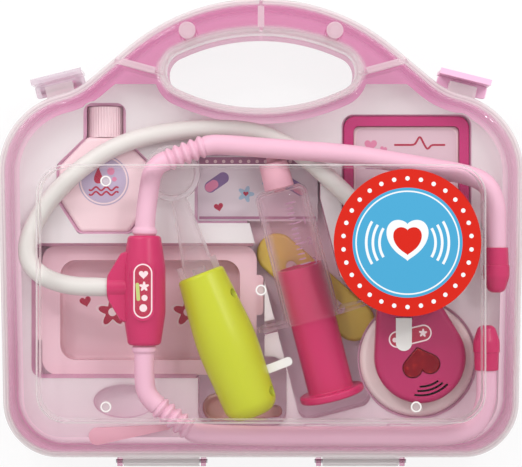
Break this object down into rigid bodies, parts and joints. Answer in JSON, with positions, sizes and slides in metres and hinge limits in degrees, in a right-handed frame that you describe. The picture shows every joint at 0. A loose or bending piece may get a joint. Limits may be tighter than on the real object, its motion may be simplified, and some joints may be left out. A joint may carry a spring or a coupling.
{
  "type": "toy doctor case",
  "caption": "Clear-lidded pink toy case with a carry handle, holding a stethoscope, light scope, syringe and small clinic toys in a formed tray.",
  "frame": {"origin": "under the middle of the case, on the plane it lies on", "axes": "+X to the right, +Y towards the carry handle, +Z out of the clear front"},
  "size_m": [0.2618, 0.2344, 0.0562],
  "materials": {
    "clear_shell": "clear glossy",
    "pink_shell": "translucent glossy",
    "tray_sheet": "thin formed sheet",
    "pin_wire": "bright",
    "clear_clip": "clear glossy",
    "pink_clip": "glossy",
    "sticker_print": "coated print",
    "crimson": "satin",
    "pink_tube": "soft satin",
    "white_hose": "soft satin",
    "white_plastic": "satin",
    "magenta": "satin",
    "red_clear": "translucent",
    "soft_rubber": "matte",
    "board": "satin",
    "speaker_can": "matte",
    "cell_steel": "bright",
    "screw_steel": "bright",
    "tab_film": "film",
    "lime": "satin",
    "clear_acrylic": "clear glossy",
    "lamp": "clear",
    "pale_pink": "satin",
    "bottle_pink": "satin",
    "label_print": "coated print",
    "carton": "coated print",
    "dish_pink": "satin",
    "chart_card": "print",
    "yellow": "satin",
    "peach": "satin"
  },
  "bodies": {
    "case": {"rear_shell": "pink_shell", "insert_tray": "tray_sheet", "hinge_pins": "pin_wire", "latch_pins": "pin_wire", "yoke_front": "crimson", "yoke_back": "crimson", "upper_arm": "pink_tube", "lower_arm": "pink_tube", "ear_tip_upper": "crimson", "ear_tip_lower": "crimson", "chest_hose": "white_hose", "chestpiece_base": "white_plastic", "chestpiece_cover": "magenta", "button_dome": "soft_rubber", "sound_board": "board", "speaker": "speaker_can", "button_cells": "cell_steel", "battery_door": "white_plastic", "chestpiece_screws": "screw_steel", "chest_pull_tab": "tab_film", "scope_handle_left": "lime", "scope_handle_right": "lime", "scope_head": "clear_acrylic", "scope_led": "lamp", "scope_cells": "cell_steel", "scope_screws": "screw_steel", "scope_pull_tab": "tab_film", "syringe_barrel": "clear_acrylic", "syringe_nozzle": "pale_pink", "bottle_body": "bottle_pink", "bottle_cap": "bottle_pink", "bottle_label": "label_print", "medicine_box": "carton", "instrument_dish": "dish_pink", "clipboard_frame": "crimson", "clipboard_card": "chart_card", "thermometer": "yellow", "spatula": "pale_pink", "medicine_spoon": "peach"},
    "lid": {"front_cover": "clear_shell", "front_sticker": "sticker_print"},
    "left_clip": {"latch_left": "clear_clip"},
    "right_clip": {"latch_right": "pink_clip"},
    "plunger": {"syringe_plunger": "crimson"},
    "heart": {"heart_button": "red_clear"},
    "switch": {"scope_button": "lime"}
  },
  "joints": [
    {"name": "lid_hinge", "type": "hinge", "parent": "case", "child": "lid", "pos_m": [0, -0.1146, 0.03], "axis": [1, 0, 0], "range_deg": [0, 180]},
    {"name": "left_clip_pivot", "type": "hinge", "parent": "case", "child": "left_clip", "pos_m": [-0.10111, 0.07382, 0.0235], "axis": [-0.9703, -0.2419, 0], "range_deg": [0, 100]},
    {"name": "right_clip_pivot", "type": "hinge", "parent": "case", "child": "right_clip", "pos_m": [0.10111, 0.07382, 0.0235], "axis": [-0.9703, 0.2419, 0], "range_deg": [0, 100]},
    {"name": "plunger_slide", "type": "slide", "parent": "case", "child": "plunger", "axis": [-0.2487, 0.9666, 0.0613], "range_m": [-0.006, 0.026]},
    {"name": "heart_press", "type": "slide", "parent": "case", "child": "heart", "axis": [0, 0, -1], "range_m": [0, 0.0013], "stiffness_N_per_m": 600, "deforming": ["button_dome"]},
    {"name": "switch_press", "type": "slide", "parent": "case", "child": "switch", "axis": [0, 0, 1], "range_m": [0, 0.0015], "stiffness_N_per_m": 600}
  ]
}
